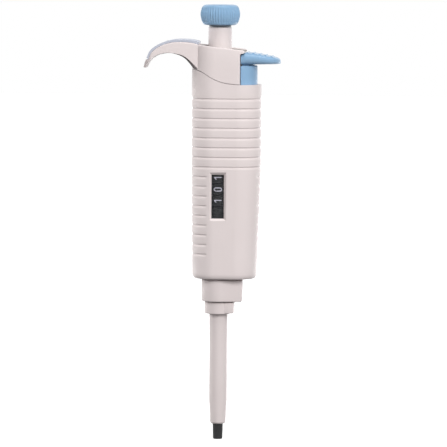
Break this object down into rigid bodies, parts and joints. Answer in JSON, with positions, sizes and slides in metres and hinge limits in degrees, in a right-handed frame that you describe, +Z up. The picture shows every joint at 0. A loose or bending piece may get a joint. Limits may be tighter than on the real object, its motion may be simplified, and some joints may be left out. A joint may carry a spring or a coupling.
{
  "type": "micropipette",
  "caption": "Adjustable single-channel micropipette: oval ribbed grip with finger hook and counter window, sprung push button and dial, thumb ejector and slim tip cone.",
  "frame": {"origin": "centre of the tip cone's open end, on the piston's axis; the face is an annulus, so the mount's point lies on it 1.15 mm to +X of the origin", "axes": "+Z up along the piston's axis to the push button, +X towards the thumb ejector, -X towards the finger hook, -Y towards the counter's window"},
  "size_m": [0.0753, 0.027, 0.2418],
  "materials": {
    "white_plastic": "satin moulded, warm white",
    "blue_plastic": "satin moulded, light blue",
    "pale_blue_plastic": "matt pale blue",
    "black_plastic": "matt black with pale figures",
    "dark_grey_plastic": "satin dark grey",
    "clear_plastic": "clear polished",
    "polished_steel": "ground and polished",
    "turned_brass": "turned",
    "seal_rubber": "matt black",
    "grey_chassis_plastic": "matt grey"
  },
  "bodies": {
    "grip": {"handle_shell": "white_plastic", "top_cap": "white_plastic", "hook_pad": "pale_blue_plastic", "window_lens": "clear_plastic", "counter_tube": "grey_chassis_plastic", "blank_drum": "black_plastic", "bearing_plate": "grey_chassis_plastic", "upper_bearing": "grey_chassis_plastic", "friction_ring": "seal_rubber", "cone_nut": "turned_brass", "tip_cone": "dark_grey_plastic", "piston_seal": "grey_chassis_plastic", "seal_ring": "seal_rubber", "seal_retainer": "turned_brass", "return_spring": "polished_steel", "blowout_spring": "polished_steel", "ejector_spring": "polished_steel", "spring_pin": "polished_steel"},
    "plunger": {"piston_rod": "dark_grey_plastic", "piston": "polished_steel"},
    "dial": {"push_button": "blue_plastic", "calibration_lock": "dark_grey_plastic", "neck_sleeve": "white_plastic", "drive_stem": "polished_steel"},
    "spindle": {"setting_spindle": "turned_brass", "drum_driver": "grey_chassis_plastic"},
    "units_wheel": {"units_drum": "black_plastic"},
    "tens_wheel": {"tens_drum": "black_plastic"},
    "hundreds_wheel": {"hundreds_drum": "black_plastic"},
    "stroke_stop": {"stop_nut": "turned_brass"},
    "blowout_stop": {"blowout_washer": "polished_steel"},
    "ejector": {"ejector_button": "blue_plastic", "ejector_bar": "polished_steel", "ejector_head": "white_plastic", "ejector_sleeve": "white_plastic"}
  },
  "joints": [
    {"name": "plunger_press", "type": "slide", "parent": "grip", "child": "plunger", "axis": [0, 0, -1], "range_m": [0, 0.0113], "stiffness_N_per_m": 400, "springref_m": -0.006, "deforming": ["return_spring"]},
    {"name": "dial_turn", "type": "hinge", "parent": "plunger", "child": "dial", "pos_m": [0, 0, 0.2306], "axis": [0, 0, -1], "range_deg": [0, 3276]},
    {"name": "spindle_turn", "type": "hinge", "parent": "grip", "child": "spindle", "pos_m": [0, 0, 0.153], "axis": [0, 0, -1], "range_deg": [0, 3276]},
    {"name": "units_turn", "type": "hinge", "parent": "grip", "child": "units_wheel", "pos_m": [0, 0, 0.14628], "axis": [0, 0, -1], "range_deg": [0, 3276]},
    {"name": "tens_turn", "type": "hinge", "parent": "grip", "child": "tens_wheel", "pos_m": [0, 0, 0.13992], "axis": [0, 0, -1], "range_deg": [0, 327.6]},
    {"name": "hundreds_turn", "type": "hinge", "parent": "grip", "child": "hundreds_wheel", "pos_m": [0, 0, 0.13356], "axis": [0, 0, -1], "range_deg": [0, 32.76]},
    {"name": "stop_nut_travel", "type": "slide", "parent": "grip", "child": "stroke_stop", "axis": [0, 0, -1], "range_m": [0, 0.00819]},
    {"name": "blowout_travel", "type": "slide", "parent": "grip", "child": "blowout_stop", "axis": [0, 0, -1], "range_m": [0, 0.0023], "deforming": ["blowout_spring"]},
    {"name": "ejector_press", "type": "slide", "parent": "grip", "child": "ejector", "axis": [0, 0, -1], "range_m": [0, 0.009], "stiffness_N_per_m": 450, "springref_m": -0.007, "deforming": ["ejector_spring"]}
  ],
  "couplings": [
    {"joint": "dial_turn", "follows": "stop_nut_travel", "rad_per_m": 6980.6},
    {"joint": "spindle_turn", "follows": "stop_nut_travel", "rad_per_m": 6980.6},
    {"joint": "units_turn", "follows": "stop_nut_travel", "rad_per_m": 6980.6},
    {"joint": "tens_turn", "follows": "stop_nut_travel", "rad_per_m": 698.06},
    {"joint": "hundreds_turn", "follows": "stop_nut_travel", "rad_per_m": 69.806},
    {"joint": "blowout_travel", "follows": "plunger_press", "ratio": 0.20352}
  ]
}
